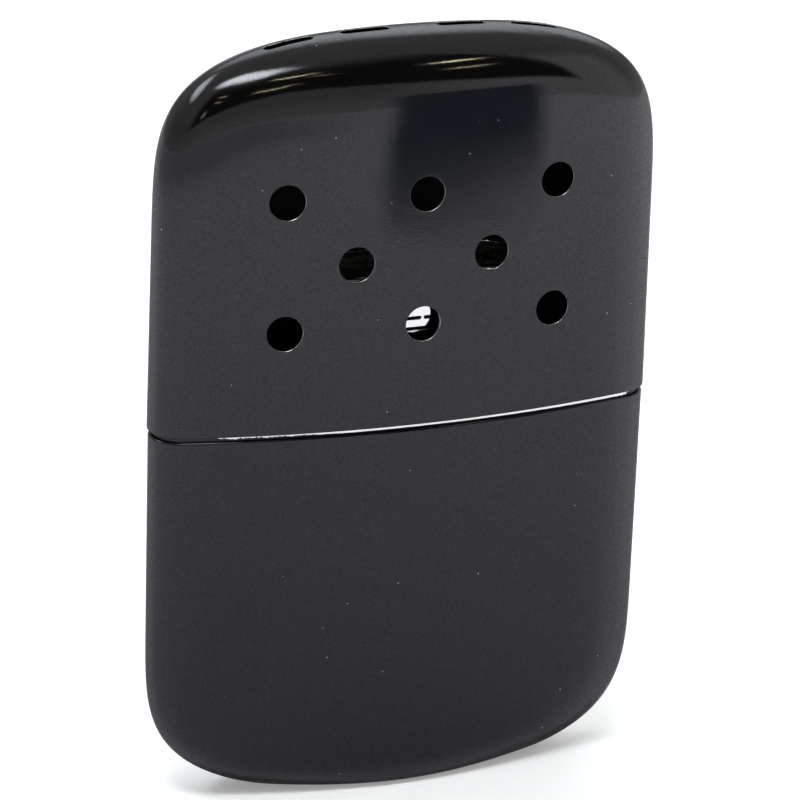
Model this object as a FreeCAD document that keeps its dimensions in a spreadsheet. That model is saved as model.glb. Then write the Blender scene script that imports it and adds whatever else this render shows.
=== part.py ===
# Catalytic hand warmer: a vented sheet-metal lid over a flat fuel tank, and a catalytic burner that is
# pushed on the tank's neck inside the lid.
# Millimetres, +Z up. X runs across the wide face, the vented front looks towards -Y, and the origin is
# the middle of the flat foot.
import FreeCAD, Part
import math
import os
import re
import Sketcher
from FreeCAD import Placement, Rotation, Vector

SIZES = {
    # Case: two drawn shells with the same flat oval section
    "case_width": 66.7,  # tank, at the seam
    "case_thickness": 14.4,  # tank, at the seam
    "case_height": 100.3,
    "side_radius": 4.0,  # round of the narrow sides, at the seam
    "sheet_wall": 0.45,
    "seam_height": 50.0,  # middle of the gap between lid and tank
    "seam_gap": 0.6,
    "lid_overhang": 0.15,  # each side, lid beyond tank at the seam
    "lid_taper": 0.5,  # each side, from the seam to the crown
    "tank_taper": 0.1,  # each side, from the seam to the foot
    # Rounding of the lid, seen from the front (shoulder) and from the side (crown)
    "shoulder_height": 27.3,
    "shoulder_rise": 4.8,
    "shoulder_spread": 2.6,
    "crown_height": 10.0,
    "crown_rise": 1.9,
    "crown_spread": 2.25,
    # Rounding of the tank, seen from the front (heel) and from the side (sole)
    "foot_width": 23.0,
    "foot_depth": 8.4,
    "heel_height": 25.0,
    "heel_rise": 4.4,
    "heel_spread": 2.0,
    "sole_height": 3.2,
    "sole_rise": 4.0,
    "sole_spread": 2.7,
    # Vents: round holes in three rows on the front, and slots along the crown
    "vent_diameter": 4.8,
    "vent_pitch": 17.9,
    "vent_row_pitch": 8.5,
    "vent_height": 72.2,  # middle row
    "crown_slot_length": 6.4,
    "crown_slot_width": 1.5,
    "crown_slot_inner": 6.3,  # middle of an inner slot, from the case's middle
    "crown_slot_outer": 16.2,
    "crown_slot_depth": 4.0,
    # Collar and deck: the bright inner cup that closes the tank and guides the lid
    "collar_rise": 5.85,  # above the seam
    "collar_depth": 8.0,  # below the seam
    "collar_clearance": 0.1,  # each side, inside the tank's wall
    "deck_wall": 0.45,
    "deck_corner": 0.9,
    # Neck
    "neck_length": 30.3,
    "neck_width": 9.2,
    "neck_wall": 0.4,
    "neck_rise": 5.6,  # above the deck
    "neck_lead": 0.15,  # chamfer at the mouth
    "flange_width": 0.75,
    "flange_wall": 0.4,
    "braze_gap": 0.03,
    # Burner
    "burner_seat_gap": 0.3,  # over the deck
    "burner_height": 13.7,
    "neck_fit": 0.08,
    "socket_wall": 0.35,
    "socket_height": 5.2,
    "socket_slit": 0.6,
    "socket_slit_height": 3.6,
    "socket_slit_pitch": 15.0,
    "socket_fit": 0.02,
    "housing_wall": 0.4,
    "housing_lip": 1.0,  # rolled in over the tray, from the outside
    "housing_round": 1.0,
    "air_slot_length": 7.6,
    "air_slot_width": 0.4,
    "air_slot_bridge": 0.35,
    "air_slot_height": 6.35,  # lower row, over the burner's bottom edge
    "air_slot_row_pitch": 1.4,
    "upper_slot_shift": 0.6,  # of the upper row, to the right
    # Catalyst
    "tray_fit": 0.05,
    "tray_wall": 0.3,
    "tray_depth": 4.05,
    "tray_hole": 1.3,
    "tray_hole_pitch": 2.2,
    "mat_fit": 0.15,
    "mat_height": 3.4,
    "mat_round": 0.5,
    "wire_diameter": 0.5,
    "wire_inset": 0.3,  # from the tray's wall to the wire
    "wire_gap": 0.1,  # over the mat
    "crossbar_diameter": 0.4,
    "crossbar_pitch": 7.5,
    # Packing
    "packing_gap": 0.3,
    "wad_height": 10.0,
    "wick_fit": 0.1,
    "wick_drop": 4.4,  # from the neck's mouth to the wick
    "wick_round": 0.5,
    "felt_height": 2.0,
}

LOFT_LEVELS = 24  # sections in each rounded shell
CROWN_TIP = 0.0006  # share of the rounding's height where the crown closes in a tiny flat
# Air slots in each row: middle in slot pitches, and length as a share of a whole slot
LOWER_AIR_SLOTS = ((-1, 1), (0, 1), (1, 1))
UPPER_AIR_SLOTS = ((-1.25, 0.5), (-0.5, 1), (0.5, 1), (1.25, 0.5))
OVERCUT = 1.0  # how far a cutting tool runs past the sheet

# Heights and sizes that follow from others
COLLAR_BOTTOM = "(seam_height - collar_depth)"
DECK_TOP = "(seam_height + collar_rise)"
DECK_UNDERSIDE = f"({DECK_TOP} - deck_wall)"
COLLAR_INSET = "(sheet_wall + collar_clearance)"
COLLAR_HALF_WIDTH = f"(case_width / 2 - {COLLAR_INSET})"
COLLAR_HALF_THICKNESS = f"(case_thickness / 2 - {COLLAR_INSET})"
NECK_TOP = f"({DECK_TOP} + neck_rise)"
FLANGE_BOTTOM = f"({DECK_UNDERSIDE} - flange_wall - braze_gap)"
BURNER_BOTTOM = f"({DECK_TOP} + burner_seat_gap)"
BURNER_TOP = f"({BURNER_BOTTOM} + burner_height)"
SOCKET_GROWTH = "2 * (neck_fit + socket_wall)"
HOUSING_BORE_GROWTH = f"({SOCKET_GROWTH} + 2 * socket_fit)"
BURNER_GROWTH = f"({HOUSING_BORE_GROWTH} + 2 * housing_wall)"
TRAY_GROWTH = f"({HOUSING_BORE_GROWTH} - 2 * tray_fit)"
TRAY_TOP = f"({BURNER_TOP} - housing_round)"
TRAY_BOTTOM = f"({TRAY_TOP} - tray_depth)"
MAT_GROWTH = f"({TRAY_GROWTH} - 2 * tray_wall - 2 * mat_fit)"
MAT_BOTTOM = f"({TRAY_BOTTOM} + tray_wall + mat_fit)"
WIRE_GROWTH = f"({TRAY_GROWTH} - 2 * tray_wall - 2 * wire_inset - wire_diameter)"
WIRE_HEIGHT = f"({MAT_BOTTOM} + mat_height + wire_gap + wire_diameter / 2)"
WICK_TOP = f"({NECK_TOP} - wick_drop)"
FELT_TOP = f"({FLANGE_BOTTOM} - packing_gap)"
FELT_BOTTOM = f"({FELT_TOP} - felt_height)"
PACKING_INSET = "(deck_wall + packing_gap)"

document = FreeCAD.newDocument("hand_warmer")
sheet = document.addObject("Spreadsheet::Sheet", "Sizes")


def fill_sheet():
    """Write each driving size in the sheet, with its name beside it and as its alias."""
    for row, (name, size) in enumerate(SIZES.items(), start=1):
        sheet.set(f"A{row}", name)
        sheet.set(f"B{row}", str(size))
        sheet.setAlias(f"B{row}", name)
    document.recompute()


def linked(formula):
    """The formula with every size's name pointing at the sheet."""
    return re.sub(r"[a-z][a-z_]*", lambda word: f"Sizes.{word.group()}", str(formula))


def number(formula):
    """The formula's value with the sheet's sizes."""
    return float(sheet.evalExpression(linked(formula)))


def bind(thing, **formulas):
    """Bind properties of a document object to formulas; a double underscore stands for a dot."""
    for path, formula in formulas.items():
        thing.setExpression(path.replace("__", "."), linked(formula))


# ---------------------------------------------------------------- sketches and bodies


def new_body(label):
    body = document.addObject("PartDesign::Body", label)
    body.Label = label
    return body


def sketch_on(body, role, height="0"):
    """An empty sketch on one of the body's own planes, moved along the plane's normal."""
    plane = next(item for item in body.Origin.OriginFeatures if item.Role == role)
    sketch = body.newObject("Sketcher::SketchObject", f"{body.Label}_sketch")
    sketch.AttachmentSupport = [(plane, "")]
    sketch.MapMode = "FlatFace"
    bind(sketch, AttachmentOffset__Base__z=height)
    return sketch


def arc(centre, radius, start, end):
    circle = Part.Circle(Vector(centre[0], centre[1], 0), Vector(0, 0, 1), radius)
    return Part.ArcOfCircle(circle, start, end)


def constrain(sketch, *rules):
    """Add a rule, and bind its size when a formula ends it."""
    for rule in rules:
        if isinstance(rule[-1], str):
            index = sketch.addConstraint(Sketcher.Constraint(*rule[:-1], number(rule[-1])))
            sketch.setExpression(f"Constraints[{index}]", linked(rule[-1]))
        else:
            sketch.addConstraint(Sketcher.Constraint(*rule))


def add_obround(sketch, length, width, across="0", along="0"):
    """A slot outline with round ends, its middle at (across, along)."""
    radius = number(width) / 2
    reach = number(length) / 2 - radius
    x, y = number(across), number(along)
    first = sketch.GeometryCount
    right, top, left, bottom = range(first, first + 4)
    sketch.addGeometry(
        [
            arc((x + reach, y), radius, -math.pi / 2, math.pi / 2),
            Part.LineSegment(Vector(x + reach, y + radius, 0), Vector(x - reach, y + radius, 0)),
            arc((x - reach, y), radius, math.pi / 2, 3 * math.pi / 2),
            Part.LineSegment(Vector(x - reach, y - radius, 0), Vector(x + reach, y - radius, 0)),
        ]
    )
    constrain(
        sketch,
        ("Tangent", right, 2, top, 1),
        ("Tangent", top, 2, left, 1),
        ("Tangent", left, 2, bottom, 1),
        ("Tangent", bottom, 2, right, 1),
        ("Horizontal", top),
        ("Radius", right, f"({width}) / 2"),
        ("DistanceX", -1, 1, right, 3, f"({across}) + ({length} - ({width})) / 2"),
        ("DistanceX", left, 3, right, 3, f"{length} - ({width})"),
        ("DistanceY", -1, 1, right, 3, along),
    )


def add_oval(sketch, half_width, half_thickness, side_radius):
    """A flat oval of four tangent arcs round the origin."""
    face = (
        f"((({half_width}) - ({side_radius}))^2 + ({half_thickness})^2 - ({side_radius})^2)"
        f" / (2 * (({half_thickness}) - ({side_radius})))"
    )
    reach = number(half_width) - number(side_radius)
    drop = number(face) - number(half_thickness)
    turn = math.atan2(drop, reach)
    right, front, left, back = range(4)
    sketch.addGeometry(
        [
            arc((reach, 0), number(side_radius), -turn, turn),
            arc((0, -drop), number(face), turn, math.pi - turn),
            arc((-reach, 0), number(side_radius), math.pi - turn, math.pi + turn),
            arc((0, drop), number(face), math.pi + turn, 2 * math.pi - turn),
        ]
    )
    constrain(
        sketch,
        ("Tangent", right, 2, front, 1),
        ("Tangent", front, 2, left, 1),
        ("Tangent", left, 2, back, 1),
        ("Tangent", back, 2, right, 1),
        ("PointOnObject", right, 3, -1),
        ("PointOnObject", front, 3, -2),
        ("Symmetric", right, 3, left, 3, -1, 1),
        ("Symmetric", front, 3, back, 3, -1, 1),
        ("Equal", right, left),
        ("Equal", front, back),
        ("Radius", right, side_radius),
        ("DistanceX", -1, 1, right, 3, f"({half_width}) - ({side_radius})"),
        ("Radius", front, face),
    )


def add_circle(sketch, diameter, across, along):
    index = sketch.GeometryCount
    centre = Vector(number(across), number(along), 0)
    sketch.addGeometry(Part.Circle(centre, Vector(0, 0, 1), number(diameter) / 2))
    constrain(
        sketch,
        ("Diameter", index, diameter),
        ("DistanceX", -1, 1, index, 3, across),
        ("DistanceY", -1, 1, index, 3, along),
    )


def extrude(body, kind, sketch, length, both_ways=False):
    """Pad the sketch up, or pocket it down; both_ways works to each side of the sketch."""
    feature = body.newObject(f"PartDesign::{kind}", f"{body.Label}_{kind.lower()}")
    feature.Profile = sketch
    if both_ways:
        feature.Midplane = True
    bind(feature, Length=length)
    document.recompute()
    return feature


def round_edges(body, kind, height, size):
    """Fillet or chamfer the body's edges that lie flat at a height."""
    base = body.Tip
    level = number(height)
    names = [
        f"Edge{index}"
        for index, edge in enumerate(base.Shape.Edges, start=1)
        if max(abs(edge.BoundBox.ZMin - level), abs(edge.BoundBox.ZMax - level)) < 1e-4
    ]
    feature = body.newObject(f"PartDesign::{kind}", f"{body.Label}_{kind.lower()}")
    feature.Base = (base, names)
    bind(feature, **{"Radius" if kind == "Fillet" else "Size": size})
    document.recompute()
    return feature


def obround_pad(label, bottom, top, growth):
    """A body that starts as the neck's outline, grown, between two heights."""
    body = new_body(label)
    sketch = sketch_on(body, "XY_Plane", bottom)
    add_obround(sketch, f"(neck_length + {growth})", f"(neck_width + {growth})")
    extrude(body, "Pad", sketch, f"{top} - {bottom}")
    return body


def obround_pocket(body, top, depth, growth):
    """Cut the neck's outline, grown, down from a height."""
    sketch = sketch_on(body, "XY_Plane", top)
    add_obround(sketch, f"(neck_length + {growth})", f"(neck_width + {growth})")
    extrude(body, "Pocket", sketch, depth)


# ---------------------------------------------------------------- drawn shells


def closing(share, rise, spread):
    """How much of a half size is left where a rounding has climbed this share of its height."""
    return (1 - min(max(share, 0), 1) ** rise) ** (1 / spread)


def lid_section(height, inset):
    """Half width and half thickness of the lid at a height, inside its outer face by inset."""
    climb = (height - number("seam_height")) / number("case_height - seam_height")
    taper = number("lid_taper") * climb
    halves = []
    for full, drawn_in, name in (("case_width", taper, "shoulder"), ("case_thickness", taper / 2, "crown")):
        half = number(f"{full} / 2 + lid_overhang") - drawn_in - inset
        reach = number(f"{name}_height")
        share = (height - number("case_height") + reach) / (reach - inset)
        left = closing(min(share, 1 - CROWN_TIP), number(f"{name}_rise"), number(f"{name}_spread"))
        halves.append(half * left)
    return halves


def tank_section(height, inset):
    """Half width and half thickness of the tank at a height, inside its outer face by inset."""
    taper = number("tank_taper") * (1 - height / number("seam_height"))
    halves = []
    for full, foot, name in (("case_width", "foot_width", "heel"), ("case_thickness", "foot_depth", "sole")):
        half = number(f"{full} / 2") - taper - inset
        least = number(f"{foot} / 2") - inset
        reach = number(f"{name}_height")
        left = closing((reach - height) / (reach - inset), number(f"{name}_rise"), number(f"{name}_spread"))
        halves.append(least + (half - least) * left)
    return halves


def oval_wire(half_width, half_thickness, height):
    """The flat oval of four tangent arcs, its side radius a fixed share of its thickness."""
    side = half_thickness * number("side_radius / (case_thickness / 2)")
    reach = half_width - side
    face = (reach**2 + half_thickness**2 - side**2) / (2 * (half_thickness - side))
    drop = face - half_thickness
    turn = math.atan2(drop, reach)
    arcs = []
    for x, y, radius, start, end in (
        (reach, 0, side, -turn, turn),
        (0, -drop, face, turn, math.pi - turn),
        (-reach, 0, side, math.pi - turn, math.pi + turn),
        (0, drop, face, math.pi + turn, 2 * math.pi - turn),
    ):
        points = [
            Vector(x + radius * math.cos(angle), y + radius * math.sin(angle), height)
            for angle in (start, (start + end) / 2, end)
        ]
        arcs.append(Part.Arc(*points).toShape())
    return Part.Wire(arcs)


def rounded_solid(label, section, level_start, level_end, inset, full_quarter=True):
    """A solid lofted through the case's sections, with levels that crowd towards level_end."""
    wires = []
    for step in range(LOFT_LEVELS + 1):
        share = step / LOFT_LEVELS
        if full_quarter:
            share = math.sin(share * math.pi / 2)
        height = level_start + (level_end - level_start) * share
        wires.append(oval_wire(*section(height, inset), height))
    if level_end < level_start:
        wires.reverse()
    feature = document.addObject("Part::Feature", label)
    feature.Shape = Part.makeLoft(wires, True)
    feature.Label = label
    return feature


def cut(label, base, tool):
    feature = document.addObject("Part::Cut", label)
    feature.Base = base
    feature.Tool = tool
    feature.Label = label
    return feature


def fuse(label, shapes):
    feature = document.addObject("Part::MultiFuse", label)
    feature.Shapes = shapes
    feature.Label = label
    return feature


def make_vent_punches():
    """Round punches through the front only: rows of three, two and three."""
    punches = []
    for row, columns in ((1, (-1, 0, 1)), (0, (-0.5, 0.5)), (-1, (-1, 0, 1))):
        for column in columns:
            punch = document.addObject("Part::Cylinder", "vent_punch")
            bind(punch, Radius="vent_diameter / 2", Height=f"case_thickness / 2 + {OVERCUT}")
            punch.Placement = Placement(Vector(), Rotation(Vector(1, 0, 0), 90))
            bind(
                punch,
                Placement__Base__x=f"{column} * vent_pitch",
                Placement__Base__z=f"vent_height + {row} * vent_row_pitch",
            )
            punches.append(punch)
    return fuse("vent_punches", punches)


def make_crown_punch():
    """Four slots down through the crown, wider apart in the middle."""
    body = new_body("crown_punch")
    sketch = sketch_on(body, "XY_Plane", "case_height - crown_slot_depth")
    for middle in ("-crown_slot_outer", "-crown_slot_inner", "crown_slot_inner", "crown_slot_outer"):
        add_obround(sketch, "crown_slot_length", "crown_slot_width", middle)
    extrude(body, "Pad", sketch, f"crown_slot_depth + {OVERCUT}")
    return body


def make_lid_shell():
    rim = number("seam_height + seam_gap / 2")
    wall = number("sheet_wall")
    outside = rounded_solid("lid_outside", lid_section, rim, number("case_height"), 0)
    inside = rounded_solid("lid_inside", lid_section, rim, number("case_height - sheet_wall"), wall)
    hollow = cut("lid_hollow", outside, inside)
    vented = cut("lid_vented", hollow, make_vent_punches())
    return cut("lid_shell", vented, make_crown_punch())


def make_tank_shell():
    rim = number("seam_height - seam_gap / 2")
    wall = number("sheet_wall")
    outside = rounded_solid("tank_outside", tank_section, rim, 0, 0)
    inside = rounded_solid("tank_inside", tank_section, rim, wall, wall)
    return cut("tank_shell", outside, inside)


def make_cotton_wads():
    """Four wads stacked in the tank under the collar, each a slice of the tank's inside."""
    inset = number("sheet_wall + packing_gap")
    wads = []
    top = number(f"{COLLAR_BOTTOM} - packing_gap")
    for label in ("upper_cotton_wad", "middle_cotton_wad", "lower_cotton_wad"):
        bottom = top - number("wad_height")
        wads.append(rounded_solid(label, tank_section, top, bottom, inset, False))
        top = bottom - number("packing_gap")
    wads.append(rounded_solid("bottom_cotton_wad", tank_section, top, inset, inset))
    return wads


# ---------------------------------------------------------------- tank top, neck and packing


def oval_pad(label, bottom, top, inset):
    """A body with the collar's section, inset, between two heights."""
    body = new_body(label)
    sketch = sketch_on(body, "XY_Plane", bottom)
    add_inset_oval(sketch, inset)
    extrude(body, "Pad", sketch, f"{top} - {bottom}")
    return body


def add_inset_oval(sketch, inset):
    half_thickness = f"({COLLAR_HALF_THICKNESS} - {inset})"
    add_oval(
        sketch,
        f"({COLLAR_HALF_WIDTH} - {inset})",
        half_thickness,
        f"({half_thickness} * side_radius / (case_thickness / 2))",
    )


def make_tank_top():
    body = oval_pad("tank_top", COLLAR_BOTTOM, DECK_TOP, "0")
    round_edges(body, "Fillet", DECK_TOP, "deck_corner")
    hollow = sketch_on(body, "XY_Plane", DECK_UNDERSIDE)
    add_inset_oval(hollow, "deck_wall")
    extrude(body, "Pocket", hollow, f"{DECK_UNDERSIDE} - {COLLAR_BOTTOM}")
    round_edges(body, "Fillet", DECK_UNDERSIDE, "deck_corner - deck_wall")
    obround_pocket(body, DECK_TOP, "2 * deck_wall", "2 * braze_gap")
    return body


def make_filler_neck():
    """A flanged flat tube that stands up through the deck."""
    body = obround_pad("filler_neck", FLANGE_BOTTOM, f"({FLANGE_BOTTOM} + flange_wall)", "2 * flange_width")
    tube = sketch_on(body, "XY_Plane", FLANGE_BOTTOM)
    add_obround(tube, "neck_length", "neck_width")
    extrude(body, "Pad", tube, f"{NECK_TOP} - {FLANGE_BOTTOM}")
    round_edges(body, "Chamfer", NECK_TOP, "neck_lead")
    obround_pocket(body, NECK_TOP, f"{NECK_TOP} - {FLANGE_BOTTOM}", "(-2 * neck_wall)")
    return body


def make_wick_pad():
    growth = "(-2 * neck_wall - 2 * wick_fit)"
    body = obround_pad("wick_pad", FLANGE_BOTTOM, WICK_TOP, growth)
    round_edges(body, "Fillet", WICK_TOP, "wick_round")
    return body


# ---------------------------------------------------------------- burner


def make_burner_housing():
    body = obround_pad("burner_housing", BURNER_BOTTOM, BURNER_TOP, BURNER_GROWTH)
    round_edges(body, "Fillet", BURNER_TOP, "housing_round")
    under_lip = f"({BURNER_TOP} - housing_wall)"
    obround_pocket(body, under_lip, f"{under_lip} - {BURNER_BOTTOM}", HOUSING_BORE_GROWTH)
    round_edges(body, "Fillet", under_lip, "housing_round - housing_wall")
    obround_pocket(body, BURNER_TOP, "2 * housing_wall", f"({BURNER_GROWTH} - 2 * housing_lip)")
    cut_air_slots(body)
    return body


def cut_air_slots(body):
    """Two staggered rows of thin slots through both long sides."""
    sketch = sketch_on(body, "XZ_Plane")
    lower = f"({BURNER_BOTTOM} + air_slot_height)"
    pitch = "(air_slot_length + air_slot_bridge)"
    upper = f"({lower} + air_slot_row_pitch)"
    for height, slots, shift in ((lower, LOWER_AIR_SLOTS, "0"), (upper, UPPER_AIR_SLOTS, "upper_slot_shift")):
        for place, share in slots:
            length = f"({share} * air_slot_length)"
            add_obround(sketch, length, "air_slot_width", f"{place} * {pitch} + {shift}", height)
    extrude(body, "Pocket", sketch, f"2 * (neck_width + {BURNER_GROWTH})", True)


def make_burner_socket():
    """The sleeve that grips the neck, slit from below into springy fingers."""
    top = f"({BURNER_BOTTOM} + socket_height)"
    body = obround_pad("burner_socket", BURNER_BOTTOM, top, SOCKET_GROWTH)
    obround_pocket(body, top, "socket_height", "2 * neck_fit")
    sketch = sketch_on(body, "XZ_Plane")
    for side in (-0.5, 0.5):
        add_slit(sketch, f"{side} * socket_slit_pitch")
    extrude(body, "Pocket", sketch, f"2 * (neck_width + {BURNER_GROWTH})", True)
    return body


def add_slit(sketch, across):
    """An upright slit, open at the burner's bottom edge."""
    first = sketch.GeometryCount
    half = number("socket_slit") / 2
    x = number(across)
    low, high = number(BURNER_BOTTOM), number(f"{BURNER_BOTTOM} + socket_slit_height")
    outline = ((x - half, low), (x + half, low), (x + half, high), (x - half, high))
    corners = [Vector(*corner, 0) for corner in outline]
    sides = [Part.LineSegment(corners[index], corners[(index + 1) % 4]) for index in range(4)]
    sketch.addGeometry(sides)
    bottom, right, top, left = range(first, first + 4)
    constrain(
        sketch,
        ("Coincident", bottom, 2, right, 1),
        ("Coincident", right, 2, top, 1),
        ("Coincident", top, 2, left, 1),
        ("Coincident", left, 2, bottom, 1),
        ("Horizontal", bottom),
        ("Horizontal", top),
        ("Vertical", right),
        ("Vertical", left),
        ("DistanceX", -1, 1, bottom, 1, f"{across} - socket_slit / 2"),
        ("DistanceX", bottom, 1, bottom, 2, "socket_slit"),
        ("DistanceY", -1, 1, bottom, 1, BURNER_BOTTOM),
        ("DistanceY", right, 1, right, 2, "socket_slit_height"),
    )


def make_catalyst_tray():
    """A shallow cup hung under the housing's lip, its floor drilled in three rows."""
    body = obround_pad("catalyst_tray", TRAY_BOTTOM, TRAY_TOP, TRAY_GROWTH)
    obround_pocket(body, TRAY_TOP, "tray_depth - tray_wall", f"({TRAY_GROWTH} - 2 * tray_wall)")
    sketch = sketch_on(body, "XY_Plane", f"{TRAY_BOTTOM} + tray_wall")
    columns = math.floor((number("neck_length") - number("neck_width")) / 2 / number("tray_hole_pitch"))
    for row in (-1, 0, 1):
        for column in range(-columns, columns + 1):
            add_circle(sketch, "tray_hole", f"{column} * tray_hole_pitch", f"{row} * tray_hole_pitch")
    extrude(body, "Pocket", sketch, "2 * tray_wall")
    return body


def make_catalyst_mat():
    body = obround_pad("catalyst_mat", MAT_BOTTOM, f"({MAT_BOTTOM} + mat_height)", MAT_GROWTH)
    round_edges(body, "Fillet", f"{MAT_BOTTOM} + mat_height", "mat_round")
    return body


def make_retainer_wire():
    """A loop of wire with three crossbars, which lies on the mat."""
    half_run = "(neck_length - neck_width) / 2"
    bend = f"((neck_width + {WIRE_GROWTH}) / 2)"
    pieces = []
    for side in (-1, 1):
        end = document.addObject("Part::Torus", "wire_end")
        bind(end, Radius1=bend, Radius2="wire_diameter / 2")
        end.Angle3 = 180
        end.Placement = Placement(Vector(), Rotation(Vector(0, 0, 1), -90 * side))
        bind(end, Placement__Base__x=f"{side} * {half_run}", Placement__Base__z=WIRE_HEIGHT)
        run = document.addObject("Part::Cylinder", "wire_run")
        bind(run, Radius="wire_diameter / 2", Height=f"2 * {half_run}")
        run.Placement = Placement(Vector(), Rotation(Vector(0, 1, 0), 90))
        bind(
            run,
            Placement__Base__x=f"-1 * {half_run}",
            Placement__Base__y=f"{side} * {bend}",
            Placement__Base__z=WIRE_HEIGHT,
        )
        pieces += [end, run]
    for place in (-1, 0, 1):
        bar = document.addObject("Part::Cylinder", "wire_crossbar")
        bind(bar, Radius="crossbar_diameter / 2", Height=f"2 * {bend}")
        bar.Placement = Placement(Vector(), Rotation(Vector(1, 0, 0), 90))
        bind(
            bar,
            Placement__Base__x=f"{place} * crossbar_pitch",
            Placement__Base__y=bend,
            Placement__Base__z=WIRE_HEIGHT,
        )
        pieces.append(bar)
    return fuse("retainer_wire", pieces)


# ---------------------------------------------------------------- the whole part


def make_subparts():
    return [
        make_lid_shell(),
        make_tank_shell(),
        make_tank_top(),
        make_filler_neck(),
        make_burner_housing(),
        make_burner_socket(),
        make_catalyst_tray(),
        make_catalyst_mat(),
        make_retainer_wire(),
        make_wick_pad(),
        oval_pad("felt_sheet", FELT_BOTTOM, FELT_TOP, PACKING_INSET),
        oval_pad("collar_cotton_wad", COLLAR_BOTTOM, f"({FELT_BOTTOM} - packing_gap)", PACKING_INSET),
        *make_cotton_wads(),
    ]


def check(subparts):
    """Stop before anything is written if a feature failed or a sub-part is no sound solid."""
    for item in document.Objects:
        if "Invalid" in item.State or "Error" in item.State:
            raise RuntimeError(f"{item.Label} failed: {item.State}")
    for subpart in subparts:
        shape = subpart.Shape
        if shape.isNull() or not shape.isValid() or not shape.Solids:
            raise RuntimeError(f"{subpart.Label} is not a sound solid")


def write(subparts):
    os.makedirs("parts", exist_ok=True)
    for subpart in subparts:
        subpart.Shape.exportStep(f"parts/{subpart.Label}.step")
        box = subpart.Shape.BoundBox
        print(f"{subpart.Label}: {subpart.Shape.Volume:.1f} mm3, z {box.ZMin:.2f} to {box.ZMax:.2f}")


fill_sheet()
all_subparts = make_subparts()
document.recompute()
check(all_subparts)
write(all_subparts)
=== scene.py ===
"""The catalytic hand warmer's looks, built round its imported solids.

Smooth drawn shells, burner, fibre mat and packing stand in for the plain solids; every surface gets a
procedural finish. Lengths are millimetres in the solids' frame until a mesh is written, in metres.
"""

import math
import random

import bpy
import numpy as np
from mathutils import Matrix, Vector, geometry, noise


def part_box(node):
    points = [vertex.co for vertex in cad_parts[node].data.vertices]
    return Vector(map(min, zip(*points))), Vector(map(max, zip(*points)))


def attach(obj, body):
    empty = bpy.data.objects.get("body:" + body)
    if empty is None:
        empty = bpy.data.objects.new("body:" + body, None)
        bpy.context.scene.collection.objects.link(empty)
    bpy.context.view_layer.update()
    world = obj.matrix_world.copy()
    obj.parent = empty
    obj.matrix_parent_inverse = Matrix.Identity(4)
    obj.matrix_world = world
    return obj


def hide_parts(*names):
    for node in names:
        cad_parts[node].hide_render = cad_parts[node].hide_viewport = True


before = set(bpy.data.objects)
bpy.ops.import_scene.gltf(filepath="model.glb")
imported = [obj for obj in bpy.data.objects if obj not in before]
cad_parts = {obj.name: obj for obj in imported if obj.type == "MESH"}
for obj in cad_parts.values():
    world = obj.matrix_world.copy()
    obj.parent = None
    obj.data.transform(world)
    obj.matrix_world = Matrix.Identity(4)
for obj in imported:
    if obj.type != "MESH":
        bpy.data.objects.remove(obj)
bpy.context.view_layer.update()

MM = 0.001
DEGREES = math.degrees(1)
UP = np.array((0.0, 0.0, 1.0))


def unit(rows):
    """Each row's direction, one long."""
    return rows / np.maximum(np.linalg.norm(rows, axis=1, keepdims=True), 1e-12)


def node_box(node):
    """Lowest and highest corner of a solid, in millimetres."""
    low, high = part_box(node)
    return np.array(low) / MM, np.array(high) / MM


def placed(name, data):
    """A new object of this mesh, curve, light or camera, in the scene."""
    made = bpy.data.objects.new(name, data)
    bpy.context.scene.collection.objects.link(made)
    return made


# ---------------- finishes


class Reading:
    """A shader socket that takes part in Python's own arithmetic."""

    def __init__(self, graph, socket):
        self.graph = graph
        self.socket = socket

    def maths(self, operation, *others, turned=False):
        """A sum with this reading first, or last if it is turned round."""
        values = (*others, self) if turned else (self, *others)
        return self.graph.node("ShaderNodeMath", {"operation": operation}, dict(enumerate(values)))

    def __add__(self, other):
        return self.maths("ADD", other)

    def __sub__(self, other):
        return self.maths("SUBTRACT", other)

    def __rsub__(self, other):
        return self.maths("SUBTRACT", other, turned=True)

    def __mul__(self, other):
        return self.maths("MULTIPLY", other)

    __radd__ = __add__
    __rmul__ = __mul__


class Graph:
    """A node tree, and the one way its nodes are made."""

    def __init__(self, tree):
        self.tree = tree

    def feed(self, node, values):
        """Set or link a node's sockets."""
        for name, value in values.items():
            if isinstance(value, Reading):
                self.tree.links.new(value.socket, node.inputs[name])
            else:
                node.inputs[name].default_value = value

    def node(self, kind, settings=None, values=None, output=0):
        """A new node: settings first, a ramp's stops among them, then values or links of its sockets."""
        made = self.tree.nodes.new(kind)
        for name, setting in (settings or {}).items():
            if name == "stops":
                ramp = made.color_ramp.elements
                for element, (place, colour) in zip((ramp[0], ramp[1]), setting):
                    element.position = place
                    element.color = colour
            else:
                setattr(made, name, setting)
        self.feed(made, values or {})
        return Reading(self, made.outputs[output])

    def smooth(self, value, low, high):
        """0 below low, 1 above high and a smooth rise between; the other way round if low is higher."""
        values = {"Value": value, "From Min": low, "From Max": high}
        return self.node("ShaderNodeMapRange", {"interpolation_type": "SMOOTHSTEP"}, values)

    def dot(self, first, second):
        """How far one direction lies along another."""
        values = {0: first, 1: second}
        return self.node("ShaderNodeVectorMath", {"operation": "DOT_PRODUCT"}, values, "Value")

    def split(self, vector):
        """The three parts of a vector."""
        parted = self.node("ShaderNodeSeparateXYZ", values={0: vector}).socket.node
        return [Reading(self, socket) for socket in parted.outputs]

    def mix(self, share, first, second):
        """From the first colour to the second as share goes from 0 to 1."""
        values = {"Factor": share, 6: first, 7: second}  # by number: several sockets are named A and B
        return self.node("ShaderNodeMix", {"data_type": "RGBA"}, values, output=2)


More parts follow.
